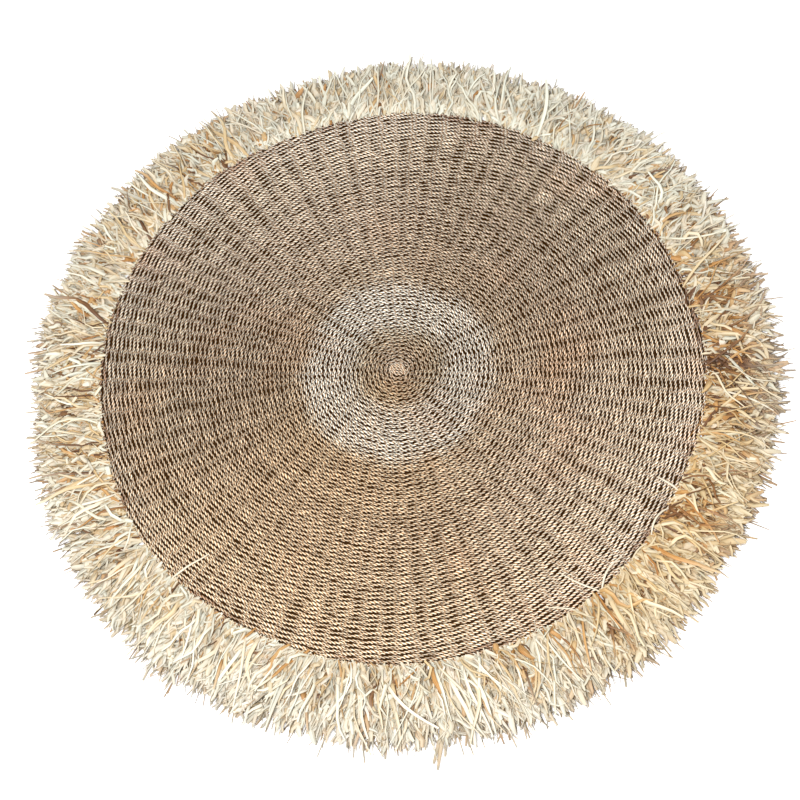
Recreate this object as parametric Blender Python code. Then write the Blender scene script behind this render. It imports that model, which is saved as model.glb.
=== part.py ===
"""Round twined seagrass mat with a raffia fringe, lying flat on the floor.

Metres, +Z up. The origin is the centre of the mat's underside, on the floor.
The mat is one solid with its twined rounds raised as concentric ribs. The fringe is knotted to the
mat's edge in twelve lengths. In each length the raffia locks stand apart but for their roots, which
are fused into a narrow strip that runs just outside the mat.
"""

import math
import random

import bmesh
import bpy
from mathutils import Vector

# Mat
MAT_RADIUS = 0.615
MAT_THICKNESS = 0.009
ROUNDS = 69
RIB_DEPTH = 0.0022
KNOT_RADIUS = 0.018
KNOT_HEIGHT = 0.0025
EDGE_CORD = 0.008
EDGE_CORD_HEIGHT = 0.0105
UNDERSIDE_BEVEL = 0.0015

# The mat's rounds are drawn with more sides as they grow: the last round of each zone and its sides
ZONES = (
    {"last_round": 8, "sides": 9},
    {"last_round": 30, "sides": 18},
    {"last_round": ROUNDS, "sides": 36},
)

# The mat's outline is hand made: each wave has a count round the edge, a height and a turn
EDGE_WAVES = (
    {"count": 3, "height": 0.0022, "turn": 0.4},
    {"count": 5, "height": 0.0018, "turn": 2.1},
    {"count": 8, "height": 0.0012, "turn": 4.0},
)

# The edge is drawn smoother than the rounds inside it
EDGE_SIDES = 72

# Fringe
CLEARANCE = 0.0003
LENGTHS = 12
SIDES_PER_LENGTH = 6
STRIP_WIDTH = 0.010
STRIP_BOTTOM = 0.001
STRIP_TOP = 0.017
ROOT_DEPTH = 0.004
REACH = 0.134
REACH_SWING = 0.018
LONG_SIDE = math.radians(-80)
RAGGED = 0.010

# The way the locks lean sideways round the mat, in radians
LEAN_WAVES = (
    {"count": 5, "height": 0.10, "turn": 0.6},
    {"count": 11, "height": 0.04, "turn": 2.0},
)
OWN_LEAN = 0.03

# Two tiers of locks. The lower rests on the floor, and the upper arches over it.
# A station is a share of the lock's length, with a share of its width and the heights there.
TIERS = (
    {
        "per_length": 12,
        "first": 0.25,
        "lock_width": 0.0215,
        "reach_share": 1.0,
        "stations": (
            {"at": 0.0, "width": 0.48, "low": 0.002, "high": 0.0075},
            {"at": 0.28, "width": 1.06, "low": 0.0, "high": 0.0120},
            {"at": 0.70, "width": 1.10, "low": 0.0, "high": 0.0100},
            {"at": 0.90, "width": 0.80, "low": 0.0, "high": 0.0060},
        ),
        "tip_height": 0.0,
    },
    {
        "per_length": 12,
        "first": 0.75,
        "lock_width": 0.0215,
        "reach_share": 0.93,
        "stations": (
            {"at": 0.0, "width": 0.48, "low": 0.0095, "high": 0.0160},
            {"at": 0.30, "width": 1.06, "low": 0.0230, "high": 0.0370},
            {"at": 0.68, "width": 1.08, "low": 0.0200, "high": 0.0310},
            {"at": 0.90, "width": 0.74, "low": 0.0135, "high": 0.0210},
        ),
        "tip_height": 0.0110,
    },
)

SEAGRASS = {"colour": (0.38, 0.28, 0.19, 1.0), "roughness": 0.82}
RAFFIA = {"colour": (0.72, 0.60, 0.42, 1.0), "roughness": 0.62}


def clear_scene():
    for obj in list(bpy.data.objects):
        bpy.data.objects.remove(obj, do_unlink=True)


def make_material(name, look):
    material = bpy.data.materials.new(name)
    material.use_nodes = True
    shader = material.node_tree.nodes["Principled BSDF"]
    shader.inputs["Base Color"].default_value = look["colour"]
    shader.inputs["Roughness"].default_value = look["roughness"]
    shader.inputs["Metallic"].default_value = 0.0
    return material


def waves(angle, table):
    return sum(row["height"] * math.sin(row["count"] * angle + row["turn"]) for row in table)


def edge_radius(angle):
    """Where the mat ends, looking out from its centre at this angle."""
    return MAT_RADIUS + waves(angle, EDGE_WAVES)


def on_floor(radius, angle, height=0.0):
    return Vector((radius * math.cos(angle), radius * math.sin(angle), height))


def object_from(bm, name, material):
    bmesh.ops.recalc_face_normals(bm, faces=bm.faces)
    mesh = bpy.data.meshes.new(name)
    bm.to_mesh(mesh)
    bm.free()
    mesh.materials.append(material)
    obj = bpy.data.objects.new(name, mesh)
    bpy.context.scene.collection.objects.link(obj)
    return obj


def add_ring(bm, radius, height, sides):
    """A closed ring of edges. Its unevenness grows with the radius, up to the mat's own outline."""
    corners = []
    for index in range(sides):
        angle = 2 * math.pi * index / sides
        share = radius / MAT_RADIUS
        corners.append(bm.verts.new(on_floor(share * edge_radius(angle), angle, height)))
    return [bm.edges.new((corner, corners[index - 1])) for index, corner in enumerate(corners)]


def sides_of_round(number):
    return next(zone["sides"] for zone in ZONES if number <= zone["last_round"])


def mat_profile():
    """The mat from its centre out to the edge and back under it: radius, height and sides of each ring."""
    woven_radius = MAT_RADIUS - EDGE_CORD
    pitch = woven_radius / ROUNDS
    rings = []
    for number in range(1, ROUNDS + 1):
        sides = sides_of_round(number)
        crest = (number - 0.5) * pitch
        rise = KNOT_HEIGHT if crest < KNOT_RADIUS else 0.0
        rings.append((crest, MAT_THICKNESS + rise, sides))
        rings.append((number * pitch, MAT_THICKNESS + rise - RIB_DEPTH, sides))
    rings.append((woven_radius + EDGE_CORD * 0.35, EDGE_CORD_HEIGHT, EDGE_SIDES))
    rings.append((woven_radius + EDGE_CORD * 0.80, EDGE_CORD_HEIGHT - RIB_DEPTH / 2, EDGE_SIDES))
    rings.append((MAT_RADIUS, MAT_THICKNESS / 2, EDGE_SIDES))
    rings.append((MAT_RADIUS - UNDERSIDE_BEVEL, 0.0, EDGE_SIDES))
    return rings


def build_mat(material):
    bm = bmesh.new()
    before = None
    for radius, height, sides in mat_profile():
        ring = add_ring(bm, radius, height, sides)
        if before is None:
            bmesh.ops.contextual_create(bm, geom=ring)
        else:
            bmesh.ops.bridge_loops(bm, edges=before + ring)
        before = ring
    bmesh.ops.contextual_create(bm, geom=before)
    return object_from(bm, "woven_mat", material)


def lock_reach(angle, rng):
    """How far past the mat's edge a lock reaches: longer on one side of the rug, and ragged."""
    return REACH + REACH_SWING * math.cos(angle - LONG_SIDE) + rng.uniform(-RAGGED, RAGGED)


def add_lock(bm, angle, tier, rng):
    """One lock of raffia with three sides: flat underneath, a ridge on top, and a tapered end."""
    outward = on_floor(1.0, angle)
    sideways = Vector((-outward.y, outward.x, 0.0))
    root = edge_radius(angle) + CLEARANCE + STRIP_WIDTH - ROOT_DEPTH
    length = edge_radius(angle) + lock_reach(angle, rng) * tier["reach_share"] - root
    lean = waves(angle, LEAN_WAVES) + rng.uniform(-OWN_LEAN, OWN_LEAN)

    def centre(share):
        drift = sideways * (length * share * share * math.tan(lean))
        return outward * (root + length * share) + drift

    sections = []
    for station in tier["stations"]:
        middle = centre(station["at"])
        half = sideways * (tier["lock_width"] * station["width"] / 2)
        low = Vector((0.0, 0.0, station["low"]))
        high = Vector((0.0, 0.0, station["high"]))
        corners = (middle - half + low, middle + half + low, middle + high)
        sections.append([bm.verts.new(point) for point in corners])
    tip = bm.verts.new(centre(1.0) + Vector((0.0, 0.0, tier["tip_height"])))
    bm.faces.new(sections[0])
    for near, far in zip(sections, sections[1:]):
        for side in range(3):
            after = (side + 1) % 3
            bm.faces.new((near[side], near[after], far[after], far[side]))
    for side in range(3):
        bm.faces.new((sections[-1][side], sections[-1][(side + 1) % 3], tip))


def build_strip(number, material):
    """The narrow strip of knots that one length of fringe hangs from."""
    span = 2 * math.pi / LENGTHS
    bm = bmesh.new()
    gap = CLEARANCE / 2
    sections = []
    for step in range(SIDES_PER_LENGTH + 1):
        angle = span * (number + step / SIDES_PER_LENGTH)
        inset = {0: gap, SIDES_PER_LENGTH: -gap}.get(step, 0.0)
        outward = on_floor(1.0, angle)
        shift = Vector((-outward.y, outward.x, 0.0)) * inset
        inner = edge_radius(angle) + CLEARANCE
        outer = inner + STRIP_WIDTH
        corners = ((inner, STRIP_BOTTOM), (outer, STRIP_BOTTOM), (outer, STRIP_TOP), (inner, STRIP_TOP))
        sections.append([bm.verts.new(on_floor(radius, angle, height) + shift) for radius, height in corners])
    bm.faces.new(sections[0])
    bm.faces.new(sections[-1])
    for near, far in zip(sections, sections[1:]):
        for side in range(4):
            after = (side + 1) % 4
            bm.faces.new((near[side], near[after], far[after], far[side]))
    return object_from(bm, f"fringe_{number + 1:02d}", material)


def build_locks(number, material, rng):
    """All the locks of one length of fringe, in two tiers, as a helper that is fused to its strip."""
    span = 2 * math.pi / LENGTHS
    bm = bmesh.new()
    for tier in TIERS:
        for index in range(tier["per_length"]):
            angle = span * (number + (index + tier["first"]) / tier["per_length"])
            add_lock(bm, angle, tier, rng)
    locks = object_from(bm, f"locks_{number + 1:02d}", material)
    locks.hide_render = True
    locks.display_type = "WIRE"
    return locks


def fuse(target, other):
    joint = target.modifiers.new("fused roots", "BOOLEAN")
    joint.operation = "UNION"
    joint.object = other


def main():
    clear_scene()
    seagrass = make_material("seagrass", SEAGRASS)
    raffia = make_material("raffia", RAFFIA)
    build_mat(seagrass)
    rng = random.Random(7)
    for number in range(LENGTHS):
        strip = build_strip(number, raffia)
        fuse(strip, build_locks(number, raffia, rng))


main()
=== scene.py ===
"""Round rug of twined seagrass with a raffia fringe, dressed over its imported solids."""

import math

import bpy
import numpy as np
from mathutils import Matrix, Vector


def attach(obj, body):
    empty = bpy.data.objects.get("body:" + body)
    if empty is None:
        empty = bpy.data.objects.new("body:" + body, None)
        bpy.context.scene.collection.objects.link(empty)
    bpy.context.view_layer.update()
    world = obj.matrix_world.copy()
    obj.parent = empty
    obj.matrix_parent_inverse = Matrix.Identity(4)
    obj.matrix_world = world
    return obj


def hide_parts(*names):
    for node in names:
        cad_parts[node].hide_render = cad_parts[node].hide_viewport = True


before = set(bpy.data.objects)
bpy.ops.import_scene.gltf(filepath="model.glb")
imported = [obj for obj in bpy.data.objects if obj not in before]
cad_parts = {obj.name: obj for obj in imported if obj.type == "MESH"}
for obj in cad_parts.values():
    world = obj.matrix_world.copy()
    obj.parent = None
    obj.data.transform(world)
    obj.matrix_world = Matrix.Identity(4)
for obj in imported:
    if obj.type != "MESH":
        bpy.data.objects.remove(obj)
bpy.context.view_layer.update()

bl_info = {
    "name": "Fringed seagrass rug",
    "version": (1, 0, 0),
    "blender": (4, 5, 0),
    "location": "3D View > Sidebar > Rug",
    "description": "Builds a round twined seagrass rug with a shaggy raffia fringe",
    "category": "Add Mesh",
}

MAT = "woven_mat"
FRINGE_NODES = sorted(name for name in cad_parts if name.startswith("fringe_"))
TURN = 2 * math.pi
UP = np.array((0.0, 0.0, 1.0))

# How many spokes the rounds are twined over, from that round outwards, and the points drawn between two
# spokes
COLUMNS = (
    {"first_round": 0, "columns": 12, "points": 4},
    {"first_round": 3, "columns": 24, "points": 4},
    {"first_round": 8, "columns": 44, "points": 4},
    {"first_round": 14, "columns": 66, "points": 4},
    {"first_round": 23, "columns": 88, "points": 4},
    {"first_round": 31, "columns": 108, "points": 6},
)

# The mat is twined in bands of rounds, each a piece of its own
BANDS = (
    {"name": "mat_heart", "first_round": 1, "last_round": 8},
    {"name": "mat_pale_ring", "first_round": 9, "last_round": 21},
    {"name": "mat_field_inner", "first_round": 22, "last_round": 41},
    {"name": "mat_field_middle", "first_round": 42, "last_round": 55},
    {"name": "mat_field_outer", "first_round": 56, "last_round": 69},
)

# Two strands twine about each other in every round, half a turn apart
STRANDS = (
    {"side": 1.0, "width": 1.05, "tone": 0.06, "lag": 0.0},
    {"side": -1.0, "width": 0.95, "tone": -0.06, "lag": -0.7},
)

# Seagrass tones from the middle of the mat outwards, at shares of its radius
SEAGRASS_TONES = (
    {"at": 0.000, "colour": (0.74, 0.64, 0.53)},
    {"at": 0.050, "colour": (0.62, 0.51, 0.38)},
    {"at": 0.110, "colour": (0.68, 0.60, 0.46)},
    {"at": 0.170, "colour": (0.94, 0.92, 0.83)},
    {"at": 0.285, "colour": (0.94, 0.92, 0.83)},
    {"at": 0.335, "colour": (0.75, 0.65, 0.51)},
    {"at": 0.560, "colour": (0.79, 0.69, 0.56)},
    {"at": 0.860, "colour": (0.90, 0.82, 0.68)},
    {"at": 0.950, "colour": (0.96, 0.89, 0.77)},
)

# How the mat changes round it, by the angle in degrees: its tone's shift, its warmth, from 0 for greyish to
# 1 for rusty, and how much more open its weave is
MAT_SHADES = (
    {"at": 0, "shift": -0.04, "warmth": 0.30, "open": 0.18},
    {"at": 30, "shift": -0.22, "warmth": 0.25, "open": 0.32},
    {"at": 60, "shift": -0.16, "warmth": 0.20, "open": 0.16},
    {"at": 90, "shift": 0.02, "warmth": 0.00, "open": -0.24},
    {"at": 120, "shift": 0.03, "warmth": 0.00, "open": 0.06},
    {"at": 150, "shift": -0.16, "warmth": 0.10, "open": 0.30},
    {"at": 180, "shift": -0.30, "warmth": 0.50, "open": 0.24},
    {"at": 210, "shift": -0.01, "warmth": 0.90, "open": -0.32},
    {"at": 240, "shift": 0.09, "warmth": 0.90, "open": -0.30},
    {"at": 270, "shift": 0.00, "warmth": 0.75, "open": -0.15},
    {"at": 300, "shift": 0.16, "warmth": 0.30, "open": -0.38},
    {"at": 330, "shift": 0.17, "warmth": 0.15, "open": -0.16},
)

# Raffia tones, from the few darkest strips to the palest
RAFFIA_TONES = (
    {"at": 0.00, "colour": (0.11, 0.05, 0.02)},
    {"at": 0.13, "colour": (0.44, 0.22, 0.06)},
    {"at": 0.30, "colour": (0.52, 0.40, 0.22)},
    {"at": 0.58, "colour": (0.62, 0.56, 0.43)},
    {"at": 1.00, "colour": (0.68, 0.65, 0.57)},
)

# How the fringe changes round the edge, in degrees: its tone's shift, how gold it is, how much of it is a
# greenish grey, and how far its strips stray from one direction
FRINGE_SHADES = (
    {"at": 0, "shift": -0.16, "gold": 0.1, "grey": 0.12, "mess": 1.3},
    {"at": 25, "shift": -0.04, "gold": 0.0, "grey": 0.45, "mess": 1.2},
    {"at": 45, "shift": 0.04, "gold": 0.0, "grey": 0.75, "mess": 1.0},
    {"at": 95, "shift": 0.06, "gold": 0.0, "grey": 0.75, "mess": 1.0},
    {"at": 115, "shift": -0.08, "gold": 0.0, "grey": 0.45, "mess": 1.0},
    {"at": 135, "shift": 0.00, "gold": 0.1, "grey": 0.30, "mess": 1.0},
    {"at": 180, "shift": -0.03, "gold": 0.1, "grey": 0.30, "mess": 0.9},
    {"at": 240, "shift": 0.08, "gold": 0.0, "grey": 0.50, "mess": 0.7},
    {"at": 285, "shift": 0.05, "gold": 0.1, "grey": 0.25, "mess": 0.7},
    {"at": 300, "shift": 0.00, "gold": 0.6, "grey": 0.05, "mess": 0.8},
    {"at": 325, "shift": -0.06, "gold": 0.7, "grey": 0.05, "mess": 1.1},
    {"at": 345, "shift": -0.13, "gold": 0.2, "grey": 0.10, "mess": 1.3},
)

# Brown locks here and there: where they are in degrees, how wide, and how much darker
BROWN_LOCKS = (
    {"at": 350, "spread": 2.1, "shift": -0.46},
    {"at": 356, "spread": 1.2, "shift": -0.30},
    {"at": 1, "spread": 1.1, "shift": -0.32},
    {"at": 28, "spread": 0.8, "shift": -0.25},
    {"at": 118, "spread": 2.5, "shift": -0.15},
    {"at": 168, "spread": 0.9, "shift": -0.14},
    {"at": 204, "spread": 1.0, "shift": -0.25},
    {"at": 258, "spread": 0.7, "shift": -0.14},
    {"at": 283, "spread": 0.8, "shift": -0.16},
    {"at": 318, "spread": 2.0, "shift": -0.20},
    {"at": 341, "spread": 1.4, "shift": -0.30},
)

# Kinds of strip in a knot. Lengths are shares of the fringe's reach, and so is the surface: how far out
# some of them come up through the others. Slopes at the root and the tip are in degrees. The fan is how far
# they spread sideways, the curl how far they bend to one side and the wave how far they snake. The end is
# the share of the width left there, the knot and the rest are the heights where they are knotted and of what
# they lie on, the tone is how pale they are and the vary how much that differs. The lowest kind's darker
# tone is partly their own ochre colour and partly painted shade for lying under the others.
STRIP_KINDS = (
    {
        "per_knot": 10, "stations": 5, "width": 0.0044, "short": 0.92, "long": 1.20, "surface": 0.0,
        "root": -10, "tip": -6, "fan": 0.26, "curl": 0.35, "wave": 0.16,
        "end": 0.50, "knot": 0.005, "rest": 0.003, "tone": 0.22, "vary": 0.26,
    },
    {
        "per_knot": 8, "stations": 8, "width": 0.0050, "short": 0.74, "long": 1.22, "surface": 0.0,
        "root": 16, "tip": -22, "fan": 0.28, "curl": 0.40, "wave": 0.36,
        "end": 0.55, "knot": 0.010, "rest": 0.009, "tone": 0.46, "vary": 0.22,
    },
    {
        "per_knot": 29, "stations": 5, "width": 0.0078, "short": 0.18, "long": 0.38, "surface": 0.82,
        "root": 18, "tip": -26, "fan": 0.40, "curl": 0.60, "wave": 0.34,
        "end": 0.50, "knot": 0.012, "rest": 0.024, "tone": 0.56, "vary": 0.24,
    },
)

# Single strips that stand out, over the mat or past the other tips: where they are knotted, how far they
# turn away from straight outwards, how much further they bend on the way and how they rise, in degrees,
# their length and width, and how pale they are
LOOSE_STRIPS = (
    {"at": 214.5, "turn": 166, "bend": 8, "rise": 12, "length": 0.084, "width": 0.0044, "tone": 0.70},
    {"at": 298.7, "turn": -152, "bend": -10, "rise": 14, "length": 0.088, "width": 0.0036, "tone": 0.70},
    {"at": 293.2, "turn": -140, "bend": 20, "rise": 14, "length": 0.060, "width": 0.0030, "tone": 0.62},
    {"at": 299.0, "turn": 130, "bend": -40, "rise": 18, "length": 0.085, "width": 0.0040, "tone": 0.74},
    {"at": 322.8, "turn": 160, "bend": 20, "rise": 16, "length": 0.050, "width": 0.0044, "tone": 0.74},
    {"at": 312.8, "turn": 120, "bend": -60, "rise": 22, "length": 0.080, "width": 0.0040, "tone": 0.70},
    {"at": 306.8, "turn": 105, "bend": -50, "rise": 20, "length": 0.070, "width": 0.0034, "tone": 0.50},
    {"at": 267.6, "turn": -4, "bend": -12, "rise": 10, "length": 0.206, "width": 0.0090, "tone": 0.34},
    {"at": 267.2, "turn": -3, "bend": -10, "rise": 10, "length": 0.190, "width": 0.0080, "tone": 0.22},
    {"at": 268.0, "turn": -6, "bend": -16, "rise": 9, "length": 0.196, "width": 0.0090, "tone": 0.28},
    {"at": 268.3, "turn": -5, "bend": -8, "rise": 10, "length": 0.182, "width": 0.0080, "tone": 0.44},
)

# The rounds are one spiral. The middle of its first turn lies this many rounds out, and this many rounds'
# width is left outside the last.
FIRST_MIDDLE = 0.45
EDGE_ROOM = 0.3

# How uneven the spokes are. From round to round their places and their openness keep most of what they were,
# and take up something new, as shares of the space between two spokes.
KEPT = 0.93
EVENED = 0.10
SPOKE_DRIFT = 0.035
SPOKE_OWN = 0.12
OPEN_DRIFT = 0.36

# The ground sheet inside the weave: how far it stays in from the mat's edge, and its heights
GROUND_INSET = 0.002
GROUND_BOTTOM = 0.0016
GROUND_THICKNESS = 0.0030

# How high the twined work lies, and how low a strand or a strip may come
WOVEN_BOTTOM = 0.0006
WOVEN_TOP = 0.0100
STRAND_LOWEST = 0.0003
STRIP_LOWEST = 0.0002

# The knot of short wound strands at the centre
KNOT_HALF_LENGTH = 0.019
KNOT_HALF_BREADTH = 0.012
KNOT_HEIGHT = 0.0060
KNOT_DOME = 0.0040
KNOT_WRAPS = 5
KNOT_STATIONS = 13
KNOT_TURN = math.radians(-32)
KNOT_STRAND = 0.0021


class WeaveSettings(bpy.types.PropertyGroup):
    rounds: bpy.props.IntProperty(
        name="Rounds", description="Rounds of twining from the centre to the edge", default=70
    )
    strand_width: bpy.props.FloatProperty(
        name="Strand width", description="Width of one twined strand", default=0.0045, unit="LENGTH"
    )
    rise: bpy.props.FloatProperty(
        name="Rise", description="How far a strand rises and dips as it twines",
        default=0.0024, unit="LENGTH"
    )
    swing: bpy.props.FloatProperty(
        name="Swing", description="How far a strand moves in and out as it twines",
        default=0.0022, unit="LENGTH"
    )
    spread: bpy.props.FloatProperty(
        name="Spread", description="How much wider a strand is where the weave is closed", default=0.55
    )
    inner_run: bpy.props.FloatProperty(
        name="Inner run", description="How straight a strand runs between crossings near the middle",
        default=0.1
    )
    outer_run: bpy.props.FloatProperty(
        name="Outer run", description="How straight a strand runs between crossings near the edge",
        default=0.35
    )
    twist_length: bpy.props.FloatProperty(
        name="Twist length", description="Length of one turn of a strand's own twist",
        default=0.0165, unit="LENGTH"
    )
    # Painted shade: the spokes are coloured near black for the shade down between the strands
    ground_shade_colour: bpy.props.FloatVectorProperty(
        name="Ground colour", description="Shaded spokes under the twining",
        default=(0.032, 0.014, 0.004), subtype="COLOR"
    )
    rim_colour: bpy.props.FloatVectorProperty(
        name="Rim colour", description="The redder last round",
        default=(0.30, 0.12, 0.05), subtype="COLOR"
    )
    seed: bpy.props.IntProperty(name="Seed", description="Pattern of the strands' unevenness", default=3)


class FringeSettings(bpy.types.PropertyGroup):
    knots: bpy.props.IntProperty(name="Knots", description="Knots of raffia round the edge", default=348)
    reach: bpy.props.FloatProperty(
        name="Reach", description="How far the fringe reaches past the mat", default=0.134, unit="LENGTH"
    )
    reach_swing: bpy.props.FloatProperty(
        name="Reach swing", description="How much longer the fringe is on its long side",
        default=0.018, unit="LENGTH"
    )
    long_side: bpy.props.FloatProperty(
        name="Long side", description="Where the fringe is longest",
        default=math.radians(-80), subtype="ANGLE"
    )
    pile: bpy.props.FloatProperty(
        name="Pile", description="Height of the fringe above the floor", default=0.040, unit="LENGTH"
    )
    strays: bpy.props.IntProperty(
        name="Strays", description="Strips that fall back over the mat", default=24
    )
    stray_side: bpy.props.FloatProperty(
        name="Stray side", description="Where most of the strays are, in degrees", default=-42.0
    )
    seed: bpy.props.IntProperty(name="Seed", description="Pattern of the strips", default=11)


class StudioSettings(bpy.types.PropertyGroup):
    distance: bpy.props.FloatProperty(
        name="Distance", description="From the camera to its target", default=3.751, unit="LENGTH"
    )
    elevation: bpy.props.FloatProperty(
        name="Elevation", description="Height of the view above the floor",
        default=math.radians(65.4), subtype="ANGLE"
    )
    roll: bpy.props.FloatProperty(
        name="Roll", description="Turn of the camera about its view",
        default=math.radians(-11.0), subtype="ANGLE"
    )
    lens: bpy.props.FloatProperty(name="Lens", description="Focal length in millimetres", default=83.94)
    target: bpy.props.FloatVectorProperty(
        name="Target", description="Point on the floor that the camera looks at",
        default=(-0.0075, -0.0634, 0.0), subtype="TRANSLATION"
    )
    floor_colour: bpy.props.FloatVectorProperty(
        name="Floor colour", description="Plain pale floor", default=(0.86, 0.86, 0.86), subtype="COLOR"
    )
    floor_glow: bpy.props.FloatProperty(
        name="Floor glow", description="Light from under the pale floor", default=0.20
    )
    key_power: bpy.props.FloatProperty(
        name="Key power", description="Power of the main light in watts", default=200.0
    )
    fill_strength: bpy.props.FloatProperty(
        name="Fill strength", description="Brightness all round", default=0.55
    )


def smooth_noise(rng, count, step):
    """A line of count smooth random values, about one wave every step of them, mostly from -1 to 1."""
    knots = rng.normal(0.0, 0.6, int(count / step) + 3)
    return np.interp(np.arange(count) / step, np.arange(len(knots)), knots)


def unit(vectors):
    """The same directions, each with a length of 1."""
    return vectors / np.maximum(np.linalg.norm(vectors, axis=-1, keepdims=True), 1e-9)


def mat_outline():
    """The CAD mat's own edge: its corners' angles and radii, in order and closed."""
    points = np.array([vertex.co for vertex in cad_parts[MAT].data.vertices])
    radii = np.hypot(points[:, 0], points[:, 1])
    angles = np.arctan2(points[:, 1], points[:, 0]) % TURN
    edge = radii > 0.985 * radii.max()
    corners = {}
    for angle, radius in zip(np.round(angles[edge], 3), radii[edge]):
        corners[angle] = max(radius, corners.get(angle, 0.0))
    places = np.array(sorted(corners))
    return places, np.array([corners[place] for place in places])


OUTLINE_ANGLES, OUTLINE_RADII = mat_outline()
MAT_RADIUS = float(OUTLINE_RADII.mean())


def edge_radius(angles):
    """Where the mat ends, looking out from its centre at these angles."""
    return np.interp(np.asarray(angles) % TURN, OUTLINE_ANGLES, OUTLINE_RADII, period=TURN)


def polar(radii, angles, heights):
    """Points at these distances from the centre, angles and heights."""
    heights = np.broadcast_to(heights, np.shape(radii))
    return np.stack([radii * np.cos(angles), radii * np.sin(angles), heights], axis=-1)


def link_object(name, mesh, material):
    mesh.materials.append(material)
    piece = bpy.data.objects.new(name, mesh)
    bpy.context.scene.collection.objects.link(piece)
    return piece


def skin(name, rings, along, values, material):
    """Closed tubes joined in one mesh.

    The rings have tubes, stations, sides and 3 numbers, and the sides run from right to up. The distance of
    each station along its tube, in metres, is kept in the UV map. Each of the values is kept as an attribute.
    """
    tubes, stations, sides = rings.shape[:3]
    index = np.arange(tubes * stations * sides).reshape(tubes, stations, sides)
    here, there = index[:, :-1], index[:, 1:]
    quads = np.stack([here, there, np.roll(there, -1, 2), np.roll(here, -1, 2)], axis=-1).reshape(-1, 4)
    caps = np.concatenate([index[:, 0], index[:, -1, ::-1]])
    starts = np.concatenate([np.arange(len(quads)) * 4, quads.size + np.arange(len(caps)) * sides])
    mesh = bpy.data.meshes.new(name)
    mesh.vertices.add(tubes * stations * sides)
    mesh.vertices.foreach_set("co", rings.ravel())
    mesh.loops.add(quads.size + caps.size)
    mesh.polygons.add(len(starts))
    mesh.polygons.foreach_set("loop_start", starts)
    mesh.polygons.foreach_set("vertices", np.concatenate([quads.ravel(), caps.ravel()]))
    mesh.polygons.foreach_set("use_smooth", np.ones(len(starts), dtype=bool))
    mesh.update(calc_edges=True)
    turn = np.arange(sides) / sides
    after = turn + 1 / sides
    across = np.broadcast_to(np.stack([turn, turn, after, after], -1), here.shape + (4,))
    low, high = along[:, :-1, None], along[:, 1:, None]
    down = np.broadcast_to(np.stack([low, high, high, low], -1), here.shape + (4,))
    cap_across = np.concatenate([np.tile(turn, (tubes, 1)), np.tile(turn[::-1], (tubes, 1))])
    cap_down = np.repeat(np.concatenate([along[:, 0], along[:, -1]]), sides)
    uv = np.stack([
        np.concatenate([across.ravel(), cap_across.ravel()]),
        np.concatenate([down.ravel(), cap_down]),
    ], axis=-1)
    mesh.uv_layers.new(name="UVMap").uv.foreach_set("vector", uv.ravel())
    for key, value in values.items():
        spread = np.broadcast_to(value[:, :, None], (tubes, stations, sides))
        mesh.attributes.new(key, "FLOAT", "POINT").data.foreach_set("value", spread.ravel())
    return link_object(name, mesh, material)


def round_rings(centres, half_widths, half_heights, sides):
    """Oval sections along each tube's middle line, level where the line is level."""
    forward = unit(np.gradient(centres, axis=1))
    right = unit(np.cross(forward, UP))
    above = np.cross(right, forward)
    turn = TURN * (np.arange(sides) / sides) + math.pi / 2
    return (
        centres[:, :, None, :]
        + right[:, :, None, :] * np.cos(turn)[None, None, :, None] * half_widths[:, :, None, None]
        + above[:, :, None, :] * np.sin(turn)[None, None, :, None] * half_heights[:, :, None, None]
    )


def distance_along(centres):
    """How far each station lies along its tube."""
    steps = np.linalg.norm(np.diff(centres, axis=1), axis=-1)
    return np.concatenate([np.zeros((len(centres), 1)), np.cumsum(steps, axis=1)], axis=1)


def ride_and_slot(piece, slot_name, *nodes):
    """Puts a finished piece on its body and in place of its solids, which it hides."""
    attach(piece, "root")
    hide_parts(*nodes)


def split_columns(edges, wanted):
    """More column edges: evenly spread columns split in two until there are as many as wanted."""
    count = len(edges) - 1
    extra = wanted - count
    picked = sorted({int((place + 0.5) * count / extra) % count for place in range(extra)})
    middles = (edges[:-1] + edges[1:])[picked] / 2
    return np.sort(np.concatenate([edges, middles]))


def stretch(values, count):
    """The same run of values, read at another number of places."""
    return np.interp(np.linspace(0, 1, count), np.linspace(0, 1, len(values)), values)


def lay_out_columns(rounds, rng):
    """For each round the angles where its strands cross, and how open its columns are.

    Both change slowly from round to round.
    """
    table = {row["first_round"]: row for row in COLUMNS}
    edges = np.linspace(0.0, TURN, table[0]["columns"] + 1)
    drift = np.zeros(len(edges))
    rays = rng.normal(0.0, 1.0, len(edges) - 1)
    result = []
    for number in range(rounds):
        points = table[number]["points"] if number in table else points
        if number and number in table:
            edges = split_columns(edges, table[number]["columns"])
            drift = stretch(drift, len(edges))
            rays = stretch(rays, len(edges) - 1)
        even = np.linspace(0.0, TURN, len(edges))
        edges = edges + EVENED * (even - edges)
        width = TURN / (len(edges) - 1)
        drift = KEPT * drift + rng.normal(0.0, SPOKE_DRIFT, len(edges)) * width
        drift[0] = drift[-1] = 0.0
        rays = KEPT * rays + rng.normal(0.0, OPEN_DRIFT, len(rays))
        own = rng.normal(0.0, SPOKE_OWN, len(edges)) * width
        own[0] = own[-1] = 0.0
        result.append({"edges": edges + drift + own, "rays": rays, "points": points})
    return result


def woven_radius(turns, angles, weave):
    """The middle line of the round that is this many turns out."""
    return (turns + FIRST_MIDDLE) / (weave.rounds + EDGE_ROOM) * edge_radius(angles)


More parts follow.
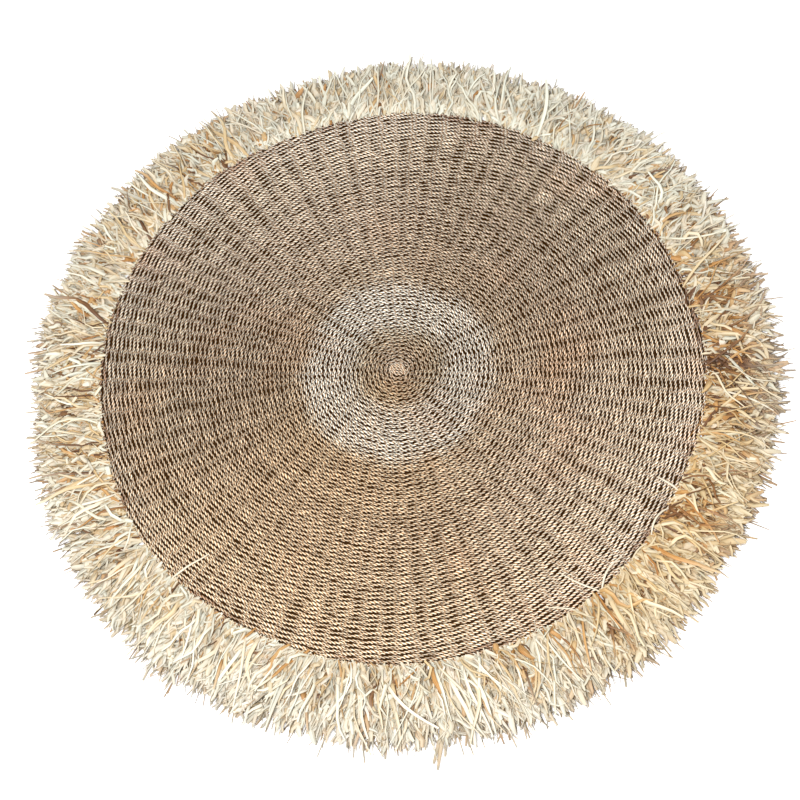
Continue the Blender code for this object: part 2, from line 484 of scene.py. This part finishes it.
def twined_strands(band, layout, weave, rng):
    """Middle lines, half widths and values of the two strands through a band of rounds.

    The strands cross between two spokes, and over each spoke one runs on top and the other is hidden.
    """
    crossings = sum(len(layout[number]["rays"]) for number in range(band["first_round"]))
    angles, turns, phases, opens = [], [], [], []
    for number in range(band["first_round"], band["last_round"] + 1):
        edges, rays, points = layout[number]["edges"], layout[number]["rays"], layout[number]["points"]
        share = (np.arange(points) + 0.5) / points
        spots = (edges[:-1, None] + share * np.diff(edges)[:, None]).ravel()
        run = np.interp(number, (20, 45), (weave.inner_run, weave.outer_run))
        along = share + run * np.sin(TURN * share) / TURN
        angles.append(spots)
        turns.append(number + spots / TURN)
        phases.append(math.pi * (crossings + np.arange(len(rays))[:, None] + along).ravel())
        usual = np.interp(number, (10, 40), (0.92, 0.62))
        around = round_the_rug(MAT_SHADES, "open", np.degrees((edges[:-1] + edges[1:]) / 2))
        opens.append(np.repeat(usual + around + 0.18 * rays + rng.normal(0.0, 0.30, len(rays)), points))
        crossings += len(rays)
    angles, turns, phases, opens = map(np.concatenate, (angles, turns, phases, opens))
    closed = 1.0 - np.clip(opens, 0.0, 1.35)
    count = len(angles)
    wander = 0.0007 * np.sin(5 * angles + 0.35 * turns) + 0.0006 * np.sin(11 * angles - 0.6 * turns)
    radii = woven_radius(turns, angles, weave) + wander + 0.0006 * smooth_noise(rng, count, 7.0)

    # The change of shade round the mat shows little in the pale ring and most near the edge
    outward = np.interp(turns / weave.rounds, (0.28, 0.40, 0.70), (-0.1, 0.7, 1.0))
    shade = outward * round_the_rug(MAT_SHADES, "shift", np.degrees(angles))
    warmth = np.interp(turns / weave.rounds, (0.10, 0.14, 0.29, 0.35), (0.8, 0.3, 0.3, 1.0))
    warmth = warmth * round_the_rug(MAT_SHADES, "warmth", np.degrees(angles))

    middle = WOVEN_BOTTOM + weave.rise + weave.strand_width / 2
    lines, widths, tones, shares = [], [], [], []
    for strand in STRANDS:
        rise = weave.rise * (1 + 0.18 * smooth_noise(rng, count, 2.0))
        swing = weave.swing * (1 + 0.20 * smooth_noise(rng, count, 3.0))
        out = radii + strand["side"] * swing * np.cos(phases) + 0.0004 * smooth_noise(rng, count, 2.0)
        height = middle + strand["side"] * rise * np.sin(phases)
        height = np.maximum(height, weave.strand_width / 2 + STRAND_LOWEST)
        lines.append(polar(out, angles, height))
        wider = 1.0 + weave.spread * closed * np.sin(phases) ** 2
        thick = weave.strand_width / 2 * strand["width"] * wider
        ragged = 1 + 0.16 * rng.normal(0.0, 1.0, count) + 0.10 * smooth_noise(rng, count, 3.0)
        widths.append(np.maximum(thick * np.clip(ragged, 0.65, 1.5), 0.0014))
        run = 0.16 * smooth_noise(rng, count, 60.0) + 0.18 * smooth_noise(rng, count, 4.0)
        tones.append(0.5 + strand["tone"] + shade + run)
        shares.append((turns + strand["lag"]) / weave.rounds)
    tones = np.clip(np.stack(tones), 0.0, 1.0)
    values = {"tone": tones, "share": np.stack(shares), "warmth": np.broadcast_to(warmth, tones.shape)}
    return np.stack(lines), np.stack(widths), values


def round_the_rug(table, column, degrees):
    """A column of one of the tables that go round the rug, read at these angles."""
    return np.interp(degrees, [row["at"] for row in table], [row[column] for row in table], period=360)


def fringe_reach(angles, fringe):
    """How far past the mat's edge the fringe reaches at these angles."""
    return fringe.reach + fringe.reach_swing * np.cos(angles - fringe.long_side)


def raffia_paths(roots, aims, rises, droops, lengths, curls, floors, stations):
    """Middle lines of strips that leave the edge, rise, arch over and rest on what is under them."""
    share = (np.arange(stations - 1) + 0.5) / (stations - 1)
    wave = curls["wave"][:, None]
    beat = TURN * curls["beat"][:, None] * share
    bearing = aims[:, None] + curls["bend"][:, None] * share
    bearing = bearing + wave * np.sin(beat + curls["start"][:, None])
    slope = rises[:, None] + (droops - rises)[:, None] * share ** 0.8
    slope = slope + wave * np.cos(beat)
    step = (lengths / (stations - 1))[:, None]
    moves = np.stack([
        step * np.cos(slope) * np.cos(bearing),
        step * np.cos(slope) * np.sin(bearing),
        step * np.sin(slope),
    ], axis=-1)
    paths = np.concatenate([roots[:, None, :], roots[:, None, :] + np.cumsum(moves, axis=1)], axis=1)
    radii = np.hypot(paths[..., 0], paths[..., 1])
    on_mat = radii < edge_radius(np.arctan2(paths[..., 1], paths[..., 0]))
    out = np.minimum(3 * np.arange(stations) / stations, 1.0)
    lowest = np.where(on_mat, WOVEN_TOP, 0.0012 + floors[:, None] * out)
    paths[:, 1:, 2] = np.maximum(paths[:, 1:, 2], lowest[:, 1:])
    return paths


def raffia_rings(paths, half_widths, rolls, twists, end):
    """Flat three-sided sections with a low ridge, turned along each strip, tapering to its ends."""
    share = np.linspace(0.0, 1.0, paths.shape[1])
    taper = np.interp(share, (0.0, 0.2, 0.7, 1.0), (0.6, 1.0, (1.0 + end) / 2 + 0.1, end))
    forward = unit(np.gradient(paths, axis=1))
    right = unit(np.cross(forward, UP))
    above = np.cross(right, forward)
    turn = (rolls[:, None] + twists[:, None] * share)[..., None]
    side = right * np.cos(turn) + above * np.sin(turn)
    face = np.cross(side, forward)
    half = (half_widths[:, None] * taper)[..., None]
    ridge = paths + face * half * 0.34
    rings = np.stack([paths + side * half, ridge, paths - side * half], axis=2)
    rings[..., 2] = np.maximum(rings[..., 2], STRIP_LOWEST)
    return rings


def fringe_knots(fringe, rng):
    """Where each knot of raffia is, and the lean, the length and the shades that its strips share."""
    count = fringe.knots
    angle = TURN * (np.arange(count) + rng.uniform(-0.3, 0.3, count)) / count
    lean = 0.20 * np.sin(7 * angle + 0.4) + 0.14 * np.sin(17 * angle + 2.0) + rng.normal(0.0, 0.15, count)
    length = rng.normal(1.0, 0.05, count) + 0.03 * np.sin(23 * angle) + 0.02 * np.sin(61 * angle + 1.0)
    degrees = np.degrees(angle) % 360
    tone = round_the_rug(FRINGE_SHADES, "shift", degrees) + rng.normal(0.0, 0.08, count)
    for lock in BROWN_LOCKS:
        away = np.abs((degrees - lock["at"] + 180) % 360 - 180) / lock["spread"]
        tone = tone + lock["shift"] * np.exp(-away ** 2)
    around = {column: round_the_rug(FRINGE_SHADES, column, degrees) for column in ("gold", "grey", "mess")}
    return {"angle": angle, "lean": lean, "length": length, "tone": tone, **around}


def raffia_strips(kind, knots, fringe, weave, rng):
    """Every strip of one kind: its rings, the lengths along it, its shades and where it is knotted."""
    own = {key: np.repeat(value, kind["per_knot"]) for key, value in knots.items()}
    count = len(own["angle"])
    angle = own["angle"] + rng.normal(0.0, 0.005, count)
    aim = own["lean"] + rng.normal(0.0, kind["fan"], count) * own["mess"]
    rise = math.radians(kind["root"]) + rng.normal(0.0, 0.19, count)
    droop = math.radians(kind["tip"]) + rng.normal(0.0, 0.24, count)
    length = fringe_reach(angle, fringe) * own["length"] * rng.uniform(kind["short"], kind["long"], count)
    outermost = woven_radius(weave.rounds - 1 + angle % TURN / TURN, angle, weave)
    root_radius = outermost + 0.0040 - 0.005 * np.abs(rng.normal(0.0, 0.8, count))
    root_radius = root_radius + rng.uniform(0.0, 1.0, count) * kind["surface"] * fringe_reach(angle, fringe)
    roots = polar(root_radius, angle, kind["knot"] + rng.uniform(-0.001, 0.002, count))
    width = kind["width"] * np.exp(np.clip(rng.normal(0.0, 0.40, count), -0.9, 0.6))
    tone = own["tone"] + rng.normal(kind["tone"], kind["vary"], count)
    grey = np.where(rng.uniform(0.0, 1.0, count) < own["grey"], rng.uniform(0.5, 1.0, count), 0.0)

    # A few short thin strays fall back over the mat, most of them on one side
    away = (np.degrees(angle) - fringe.stray_side + 180) % 360 - 180
    chance = 0.25 + np.exp(-(away / 14) ** 2)
    strays = rng.choice(count, fringe.strays // len(STRIP_KINDS), replace=False, p=chance / chance.sum())
    aim[strays] = rng.uniform(1.7, 2.7, len(strays)) * rng.choice((-1.0, 1.0), len(strays))
    length[strays] = rng.uniform(0.02, 0.06, len(strays))
    rise[strays] = rng.uniform(0.1, 0.5, len(strays))
    droop[strays] = rng.uniform(-0.6, 0.0, len(strays))
    width[strays] = 0.0012

    curls = {
        "bend": rng.normal(0.0, kind["curl"], count),
        "wave": rng.normal(0.0, kind["wave"], count),
        "beat": rng.uniform(0.8, 1.9, count),
        "start": rng.uniform(0.0, TURN, count),
    }
    floors = kind["rest"] * rng.uniform(0.2, 1.0, count)
    paths = raffia_paths(roots, angle + aim, rise, droop, length, curls, floors, kind["stations"])
    paths[..., 2] = fringe.pile * np.tanh(paths[..., 2] / fringe.pile)
    rolls = rng.normal(0.0, 0.38, count)
    twists = rng.normal(0.0, 0.8, count)
    rings = raffia_rings(paths, width / 2, rolls, twists, kind["end"])
    shades = {"tone": np.clip(tone, 0.0, 1.0), "grey": grey, "gold": own["gold"]}
    return rings, distance_along(paths), shades, angle % TURN


def loose_strips(weave):
    """The single strips that stand out, in the same form as all the strips of one kind."""
    columns = {key: np.array([row[key] for row in LOOSE_STRIPS]) for key in LOOSE_STRIPS[0]}
    count = len(LOOSE_STRIPS)
    angle = np.radians(columns["at"])
    rise = np.radians(columns["rise"])
    outermost = woven_radius(weave.rounds - 1 + angle % TURN / TURN, angle, weave)
    roots = polar(outermost + 0.002, angle, 0.012)
    still = np.zeros(count)
    curls = {"bend": np.radians(columns["bend"]), "wave": still + 0.08, "beat": still + 1.0, "start": still}
    aims = angle + np.radians(columns["turn"])
    paths = raffia_paths(roots, aims, rise, -rise, columns["length"], curls, still + 0.004, 8)
    rings = raffia_rings(paths, columns["width"] / 2, still, still, 0.5)
    shades = {"tone": columns["tone"], "grey": still, "gold": still}
    return rings, distance_along(paths), shades, angle % TURN


def new_material(name, roughness, specular):
    """A material with its node tree and its Principled shader."""
    material = bpy.data.materials.new(name)
    material.use_nodes = True
    shader = material.node_tree.nodes["Principled BSDF"]
    shader.inputs["Roughness"].default_value = roughness
    shader.inputs["Specular IOR Level"].default_value = specular
    return material, material.node_tree, shader


def find_socket(node, key):
    """One of a node's inputs, by its number, as in n0, or by its name, with underscores for spaces."""
    if key[0] == "n" and key[1:].isdigit():
        return node.inputs[int(key[1:])]
    return node.inputs[key.replace("_", " ")]


def add_node(tree, kind, settings=None, **inputs):
    """A node with its settings and its inputs, each a value or another node's output."""
    node = tree.nodes.new(kind)
    for key, value in (settings or {}).items():
        setattr(node, key, value)
    for key, value in inputs.items():
        socket = find_socket(node, key)
        if isinstance(value, bpy.types.NodeSocket):
            tree.links.new(value, socket)
        else:
            socket.default_value = value
    return node


def calculate(tree, operation, *values):
    """What a Math node makes of some values or other nodes' outputs."""
    inputs = {f"n{place}": value for place, value in enumerate(values)}
    return add_node(tree, "ShaderNodeMath", {"operation": operation}, **inputs).outputs[0]


def remap(tree, value, low, high, to_low, to_high):
    """The value carried over from one span to another, and held inside it."""
    node = add_node(
        tree, "ShaderNodeMapRange", {"clamp": True},
        Value=value, From_Min=low, From_Max=high, To_Min=to_low, To_Max=to_high,
    )
    return node.outputs["Result"]


def blend_colours(tree, factor, first, second, mode="MIX"):
    settings = {"data_type": "RGBA", "blend_type": mode}
    return add_node(tree, "ShaderNodeMix", settings, n0=factor, n6=first, n7=second).outputs[2]


def multiply_colours(tree, colour, other, where=1.0):
    """The colour darkened or tinted by another, as far as the mask says."""
    return blend_colours(tree, where, colour, other, "MULTIPLY")


def ramp(tree, factor, table):
    """A colour read from one of the tables of tones."""
    node = add_node(tree, "ShaderNodeValToRGB", n0=factor)
    stops = node.color_ramp.elements
    while len(stops) < len(table):
        stops.new(0.5)
    for stop, row in zip(stops, table):
        stop.position = row["at"]
    for stop, row in zip(stops, table):
        stop.color = (*row["colour"], 1.0)
    return node.outputs["Color"]


def noise(tree, place, scale, detail):
    return add_node(tree, "ShaderNodeTexNoise", Vector=place, Scale=scale, Detail=detail).outputs["Fac"]


def emboss(tree, shader, height, strength, distance):
    """Fine relief on a shader, from a height that changes over the surface."""
    bump = add_node(tree, "ShaderNodeBump", Strength=strength, Distance=distance, Height=height)
    tree.links.new(bump.outputs["Normal"], shader.inputs["Normal"])


def read_attribute(tree, name):
    return add_node(tree, "ShaderNodeAttribute", {"attribute_name": name}).outputs["Fac"]


def read_place(tree):
    """A point's place on the rug, whole and as its X, Y and Z."""
    place = add_node(tree, "ShaderNodeTexCoord").outputs["Object"]
    return place, add_node(tree, "ShaderNodeSeparateXYZ", Vector=place).outputs


def read_strand_place(tree):
    """A point's place on its strand or strip, from the UV map: X in turns round it, Y in metres along it."""
    place = add_node(tree, "ShaderNodeUVMap", {"uv_map": "UVMap"}).outputs["UV"]
    return add_node(tree, "ShaderNodeSeparateXYZ", Vector=place).outputs


def new_group(name, inputs, output):
    """A shader node group with its named values in and its one value out."""
    group = bpy.data.node_groups.new(name, "ShaderNodeTree")
    for socket, default in inputs.items():
        made = group.interface.new_socket(socket, in_out="INPUT", socket_type="NodeSocketFloat")
        made.default_value = default
    group.interface.new_socket(output, in_out="OUTPUT", socket_type="NodeSocketFloat")
    result = group.nodes.new("NodeGroupOutput").inputs[output]
    return group, group.nodes.new("NodeGroupInput").outputs, result


def fibre_group():
    """Fine fibres that run along a strand or strip."""
    group, source, result = new_group("Fibres", {"Across": 9.0, "Along": 60.0}, "Fibres")
    parts = read_strand_place(group)
    across = calculate(group, "MULTIPLY", parts["X"], source["Across"])
    along = calculate(group, "MULTIPLY", parts["Y"], source["Along"])
    spot = add_node(group, "ShaderNodeCombineXYZ", X=across, Y=along).outputs["Vector"]
    grain = add_node(group, "ShaderNodeTexNoise", Vector=spot, Scale=1.0, Detail=3.0, Roughness=0.6)
    group.links.new(grain.outputs["Fac"], result)
    return group


def patch_group():
    """Soft patches over the whole rug, from 0 to 1."""
    group, source, result = new_group("Patches", {"Scale": 3.0, "Low": 0.4, "High": 0.6}, "Patches")
    cloud = noise(group, read_place(group)[0], source["Scale"], 3.0)
    group.links.new(remap(group, cloud, source["Low"], source["High"], 0.0, 1.0), result)
    return group


def twist_group():
    """The helical grooves between the two plies of a seagrass strand: 1 on a ply's crest, 0 in a groove."""
    group, source, result = new_group("Ply twist", {"Length": 0.0085}, "Crest")
    parts = read_strand_place(group)
    turns = calculate(group, "DIVIDE", parts["Y"], source["Length"])
    both = calculate(group, "ADD", turns, parts["X"])
    wave = calculate(group, "SINE", calculate(group, "MULTIPLY", both, TURN * 2))
    group.links.new(calculate(group, "MULTIPLY_ADD", wave, 0.5, 0.5), result)
    return group


GROUPS = {"Fibres": fibre_group, "Patches": patch_group, "Ply twist": twist_group}


def use_group(tree, name, **inputs):
    """What one of the shared groups puts out. A group is built the first time that it is used."""
    group = bpy.data.node_groups.get(name) or GROUPS[name]()
    return add_node(tree, "ShaderNodeGroup", {"node_tree": group}, **inputs).outputs[0]


def seagrass_material(weave):
    material, tree, shader = new_material("twined seagrass", 0.78, 0.2)
    place, parts = read_place(tree)
    share = read_attribute(tree, "share")
    ragged = calculate(tree, "MULTIPLY", noise(tree, place, 45.0, 1.0), 0.06)
    shift = calculate(tree, "MULTIPLY_ADD", noise(tree, place, 5.0, 1.0), 0.10, ragged)
    shift = calculate(tree, "SUBTRACT", shift, 0.08)
    colour = ramp(tree, calculate(tree, "ADD", share, shift), SEAGRASS_TONES)

    # Each stretch of strand is paler or darker, and greyer or rustier
    colour = multiply_colours(tree, colour, remap(tree, read_attribute(tree, "tone"), 0.0, 1.0, 0.58, 1.30))
    warmth = read_attribute(tree, "warmth")
    cast = blend_colours(tree, warmth, (1.00, 1.00, 1.00, 1.0), (1.02, 0.92, 0.77, 1.0))
    colour = multiply_colours(tree, colour, cast)
    warm = calculate(tree, "MULTIPLY", use_group(tree, "Patches", Scale=4.5, Low=0.52, High=0.75), 0.45)
    colour = multiply_colours(tree, colour, (1.08, 0.82, 0.66, 1.0), warm)

    # The last round is redder in places
    rim = remap(tree, share, 0.968, 0.976, 0.0, 1.0)
    rim = calculate(tree, "MULTIPLY", rim, use_group(tree, "Patches", Scale=6.0, Low=0.50, High=0.58))
    rim = calculate(tree, "MULTIPLY", rim, 0.6)
    colour = blend_colours(tree, rim, colour, (*weave.rim_colour, 1.0))

    # Fibres, and painted shade in the grooves between a strand's plies
    fibres = use_group(tree, "Fibres", Across=7.0, Along=160.0)
    crest = use_group(tree, "Ply twist", Length=weave.twist_length)
    colour = multiply_colours(tree, colour, remap(tree, fibres, 0.3, 0.7, 0.66, 1.32))
    # Painted shade: the plies' grooves are darkened where shade falls in them
    groove = remap(tree, crest, 0.0, 0.8, 1.0, 0.0)
    colour = multiply_colours(tree, colour, (0.36, 0.20, 0.07, 1.0), groove)

    # Painted shade: the grooves are darkest down a strand's sides, and the whole strand is darker low in the
    # weave, where the strands above shade it
    on_top = calculate(tree, "COSINE", calculate(tree, "MULTIPLY", read_strand_place(tree)["X"], TURN))
    shaded_sides = remap(tree, on_top, 0.30, 0.90, 1.0, 0.0)
    side_groove_shade = calculate(tree, "MULTIPLY", shaded_sides, remap(tree, crest, 0.2, 0.7, 1.0, 0.0))
    colour = multiply_colours(tree, colour, (0.12, 0.05, 0.012, 1.0), side_groove_shade)
    # Painted shade: darker low in the weave, under and between the strands
    depth = remap(tree, parts["Z"], 0.0034, 0.0074, 1.0, 0.0)
    colour = multiply_colours(tree, colour, (0.19, 0.08, 0.018, 1.0), depth)

    tree.links.new(colour, shader.inputs["Base Color"])
    tree.links.new(remap(tree, fibres, 0.3, 0.7, 0.70, 0.88), shader.inputs["Roughness"])
    emboss(tree, shader, calculate(tree, "MULTIPLY_ADD", fibres, 0.35, crest), 1.0, 0.0022)
    return material


def ground_shade_material(weave):
    # The spokes are coloured near black, as painted shade down between the strands
    material, tree, shader = new_material("seagrass spokes in painted shade", 0.9, 0.0)
    place, parts = read_place(tree)
    bearing = calculate(tree, "ARCTAN2", parts["Y"], parts["X"])
    spoke = calculate(tree, "SINE", calculate(tree, "MULTIPLY", bearing, 200.0))
    dark, pale = ((*(share * value for value in weave.ground_shade_colour), 1.0) for share in (0.6, 1.5))
    colour = blend_colours(tree, noise(tree, place, 180.0, 2.0), dark, pale)
    tree.links.new(colour, shader.inputs["Base Color"])
    emboss(tree, shader, spoke, 0.5, 0.002)
    return material


def raffia_material():
    material, tree, shader = new_material("raffia strips", 0.55, 0.35)
    parts = read_place(tree)[1]
    flat = add_node(tree, "ShaderNodeCombineXYZ", X=parts["X"], Y=parts["Y"]).outputs["Vector"]
    radius = add_node(tree, "ShaderNodeVectorMath", {"operation": "LENGTH"}, n0=flat).outputs["Value"]
    fibres = use_group(tree, "Fibres", Across=14.0, Along=28.0)
    patches = use_group(tree, "Patches", Scale=5.0, Low=0.35, High=0.7)

    def past_edge(near, far, at_near, at_far):
        """A value that goes from one to the other between two distances past the mat's edge."""
        return remap(tree, radius, MAT_RADIUS + near, MAT_RADIUS + far, at_near, at_far)

    # The strip's own tone, with its fibres, and paler tips
    tone = calculate(tree, "ADD", read_attribute(tree, "tone"), remap(tree, fibres, 0.3, 0.7, -0.12, 0.12))
    tone = calculate(tree, "ADD", tone, remap(tree, patches, 0.0, 1.0, -0.06, 0.06))
    tone = calculate(tree, "ADD", tone, past_edge(0.05, 0.14, -0.04, 0.06))
    colour = ramp(tree, tone, RAFFIA_TONES)
    colour = blend_colours(tree, read_attribute(tree, "grey"), colour, (0.62, 0.63, 0.54, 1.0))
    colour = blend_colours(tree, past_edge(0.07, 0.15, 0.0, 0.45), colour, (0.56, 0.55, 0.48, 1.0))
    colour = multiply_colours(tree, colour, (0.98, 0.86, 0.64, 1.0), read_attribute(tree, "gold"))

    # Shade deep in the pile, less of it at the knots and near the tips
    deep = remap(tree, parts["Z"], 0.006, 0.028, 1.0, 0.0)
    inner = calculate(tree, "MULTIPLY", past_edge(0.045, 0.120, 1.0, 0.55), past_edge(0.0, 0.03, 0.2, 1.0))
    flecks = use_group(tree, "Patches", Scale=60.0, Low=0.46, High=0.56)
    shade = blend_colours(tree, flecks, (0.12, 0.07, 0.028, 1.0), (0.42, 0.22, 0.065, 1.0))
    colour = multiply_colours(tree, colour, shade, calculate(tree, "MULTIPLY", deep, inner))

    # Painted shade: a strip is darker and browner at its edges and underneath
    turn = read_strand_place(tree)["X"]
    from_ridge = calculate(tree, "ABSOLUTE", calculate(tree, "SUBTRACT", turn, 1 / 3))
    edges = remap(tree, from_ridge, 0.24, 0.33, 0.0, 1.0)
    colour = multiply_colours(tree, colour, (0.62, 0.50, 0.34, 1.0), edges)

    tree.links.new(colour, shader.inputs["Base Color"])
    tree.links.new(remap(tree, fibres, 0.3, 0.7, 0.48, 0.64), shader.inputs["Roughness"])
    emboss(tree, shader, fibres, 0.35, 0.0006)
    return material


def floor_material(colour, glow):
    material, _, shader = new_material("pale floor", 0.9, 0.1)
    shader.inputs["Base Color"].default_value = (*colour, 1.0)
    shader.inputs["Emission Color"].default_value = (1.0, 1.0, 1.0, 1.0)
    shader.inputs["Emission Strength"].default_value = glow
    return material


def material_once(name, make, *arguments):
    """The material of this name, made the first time that it is asked for."""
    return bpy.data.materials.get(name) or make(*arguments)


def deselect_all():
    bpy.ops.object.select_all(action="DESELECT")


class RUG_OT_weave(bpy.types.Operator):
    """Twines the mat's two strands round its spokes, in bands from the centre to the edge"""

    bl_idname = "rug.weave"
    bl_label = "Twine the mat"

    def execute(self, context):
        weave = context.scene.rug_weave
        material = material_once("twined seagrass", seagrass_material, weave)
        layout = lay_out_columns(weave.rounds, np.random.default_rng(weave.seed))
        for place, band in enumerate(BANDS):
            rng = np.random.default_rng(weave.seed + 10 + place)
            lines, widths, values = twined_strands(band, layout, weave, rng)
            rings = round_rings(lines, widths, np.full_like(widths, weave.strand_width / 2), sides=4)
            piece = skin(band["name"], rings, distance_along(lines), values, material)
            ride_and_slot(piece, "seagrass", MAT)
        return {"FINISHED"}


class RUG_OT_centre(bpy.types.Operator):
    """Lays the short wound strands of the pale knot over the middle of the mat"""

    bl_idname = "rug.centre"
    bl_label = "Wind the centre knot"

    def execute(self, context):
        weave = context.scene.rug_weave
        material = material_once("twined seagrass", seagrass_material, weave)
        row = np.linspace(-0.8, 0.8, KNOT_WRAPS)[:, None]
        share = np.linspace(-1.0, 1.0, KNOT_STATIONS)
        along = KNOT_HALF_LENGTH * np.sqrt(1 - row ** 2) * share
        across = KNOT_HALF_BREADTH * row + 0.0012 * np.sin(4 * share + 2.0 * row)
        x = along * math.cos(KNOT_TURN) - across * math.sin(KNOT_TURN)
        y = along * math.sin(KNOT_TURN) + across * math.cos(KNOT_TURN)
        dome = 1 - (along / KNOT_HALF_LENGTH) ** 2 - (across / KNOT_HALF_BREADTH) ** 2
        z = KNOT_HEIGHT + KNOT_DOME * np.sqrt(np.clip(dome, 0.0, 1.0))
        lines = np.stack([x, y, z], axis=-1)
        radii = np.full_like(x, KNOT_STRAND)
        rings = round_rings(lines, radii, radii, sides=8)
        shades = {"tone": 0.6, "share": 0.0, "warmth": 0.5}
        values = {key: np.full_like(x, shade) for key, shade in shades.items()}
        piece = skin("mat_centre_knot", rings, distance_along(lines), values, material)
        ride_and_slot(piece, "seagrass", MAT)
        return {"FINISHED"}


class RUG_OT_ground(bpy.types.Operator):
    """Makes the sheet of spokes inside the weave, near black as painted shade, which stands for the whole mat
    as cloth
    """

    bl_idname = "rug.ground"
    bl_label = "Lay the ground"

    def execute(self, context):
        weave = context.scene.rug_weave
        deselect_all()
        count = len(OUTLINE_ANGLES)
        bpy.ops.mesh.primitive_cylinder_add(vertices=count, radius=1.0, depth=GROUND_THICKNESS)
        ground = context.object
        ground.name = "mat_ground"
        quarter_side = TURN / count / 4

        def place_in_order(vertex):
            """The lower ring first, and round each ring from the side where the outline starts."""
            return vertex.co.z > 0.0, (math.atan2(vertex.co.y, vertex.co.x) + quarter_side) % TURN

        lower = polar(OUTLINE_RADII - GROUND_INSET, OUTLINE_ANGLES, GROUND_BOTTOM)
        upper = lower + UP * GROUND_THICKNESS
        corners = np.concatenate([lower, upper])
        for vertex, corner in zip(sorted(ground.data.vertices, key=place_in_order), corners):
            vertex.co = corner
        ground.data.materials.append(material_once("seagrass spokes in painted shade", ground_shade_material, weave))
        ride_and_slot(ground, "seagrass", MAT)
        return {"FINISHED"}


class RUG_OT_fringe(bpy.types.Operator):
    """Knots the raffia fringe round the mat, one joined piece for each length of it"""

    bl_idname = "rug.fringe"
    bl_label = "Knot the fringe"

    def execute(self, context):
        fringe = context.scene.rug_fringe
        weave = context.scene.rug_weave
        material = material_once("raffia strips", raffia_material)
        rng = np.random.default_rng(fringe.seed)
        knots = fringe_knots(fringe, rng)
        strips = [raffia_strips(kind, knots, fringe, weave, rng) for kind in STRIP_KINDS]
        strips.append(loose_strips(weave))
        span = TURN / len(FRINGE_NODES)
        for place, node in enumerate(FRINGE_NODES):
            name = node.replace("fringe", "raffia")
            deselect_all()
            for rings, along, shades, angles in strips:
                mine = (angles / span).astype(int) == place
                if not mine.any():
                    continue
                spread = np.ones(along[mine].shape)
                values = {key: shade[mine, None] * spread for key, shade in shades.items()}
                piece = skin(name, rings[mine], along[mine], values, material)
                piece.select_set(True)
                context.view_layer.objects.active = piece
            bpy.ops.object.join()
            bpy.ops.object.shade_smooth_by_angle(angle=math.radians(35))
            piece = context.object
            piece.name = name
            ride_and_slot(piece, "raffia", node)
        return {"FINISHED"}


class RUG_OT_stage(bpy.types.Operator):
    """Sets the pale floor, the soft lights and the camera at the photograph's angle"""

    bl_idname = "rug.stage"
    bl_label = "Set the stage"

    def execute(self, context):
        studio = context.scene.rug_studio
        deselect_all()
        bpy.ops.mesh.primitive_plane_add(size=30.0)
        floor = context.object
        floor.name = "stage_floor"
        floor.data.materials.append(floor_material(studio.floor_colour, studio.floor_glow))

        def add_light(name, place, size, power):
            bpy.ops.object.light_add(type="AREA", location=place)
            light = context.object
            light.name = name
            light.data.size = size
            light.data.energy = power
            light.rotation_euler = (-Vector(place)).to_track_quat("-Z", "Y").to_euler()

        add_light("key_light", (-0.6, -1.4, 3.4), 1.2, studio.key_power)
        add_light("fill_light", (2.4, 2.0, 3.4), 3.0, studio.key_power * 0.2)

        world = bpy.data.worlds.new("soft white")
        world.use_nodes = True
        sky = world.node_tree.nodes["Background"]
        sky.inputs["Color"].default_value = (1.0, 1.0, 1.0, 1.0)
        sky.inputs["Strength"].default_value = studio.fill_strength
        context.scene.world = world
        context.scene.view_settings.view_transform = "Standard"

        target = Vector(studio.target)
        back = Vector((0.0, -math.cos(studio.elevation), math.sin(studio.elevation)))
        right = (-back).cross(Vector((0.0, 0.0, 1.0))).normalized()
        above = back.cross(right)
        rolled_right = right * math.cos(studio.roll) + above * math.sin(studio.roll)
        rolled_above = above * math.cos(studio.roll) - right * math.sin(studio.roll)
        bpy.ops.object.camera_add(location=target + back * studio.distance)
        camera = context.object
        camera.rotation_euler = Matrix((rolled_right, rolled_above, back)).transposed().to_euler()
        camera.data.sensor_width = 36.0
        camera.data.lens = studio.lens
        context.scene.camera = camera
        return {"FINISHED"}


class RUG_PT_panel(bpy.types.Panel):
    """Buttons and sizes for the rug"""

    bl_idname = "RUG_PT_panel"
    bl_label = "Fringed rug"
    bl_space_type = "VIEW_3D"
    bl_region_type = "UI"
    bl_category = "Rug"

    def draw(self, context):
        for settings in (context.scene.rug_weave, context.scene.rug_fringe, context.scene.rug_studio):
            box = self.layout.box()
            for key in settings.bl_rna.properties.keys():
                if key not in ("rna_type", "name"):
                    box.prop(settings, key)
        for operator in OPERATORS:
            self.layout.operator(operator.bl_idname)


SETTINGS = {"rug_weave": WeaveSettings, "rug_fringe": FringeSettings, "rug_studio": StudioSettings}
OPERATORS = (RUG_OT_ground, RUG_OT_weave, RUG_OT_centre, RUG_OT_fringe, RUG_OT_stage)


def register():
    for name, group in SETTINGS.items():
        bpy.utils.register_class(group)
        setattr(bpy.types.Scene, name, bpy.props.PointerProperty(type=group))
    for operator in OPERATORS:
        bpy.utils.register_class(operator)
    bpy.utils.register_class(RUG_PT_panel)


def unregister():
    bpy.utils.unregister_class(RUG_PT_panel)
    for operator in reversed(OPERATORS):
        bpy.utils.unregister_class(operator)
    for name, group in SETTINGS.items():
        delattr(bpy.types.Scene, name)
        bpy.utils.unregister_class(group)


def main():
    register()
    bpy.ops.rug.ground()
    bpy.ops.rug.weave()
    bpy.ops.rug.centre()
    bpy.ops.rug.fringe()
    bpy.ops.rug.stage()


if __name__ == "__main__":
    main()
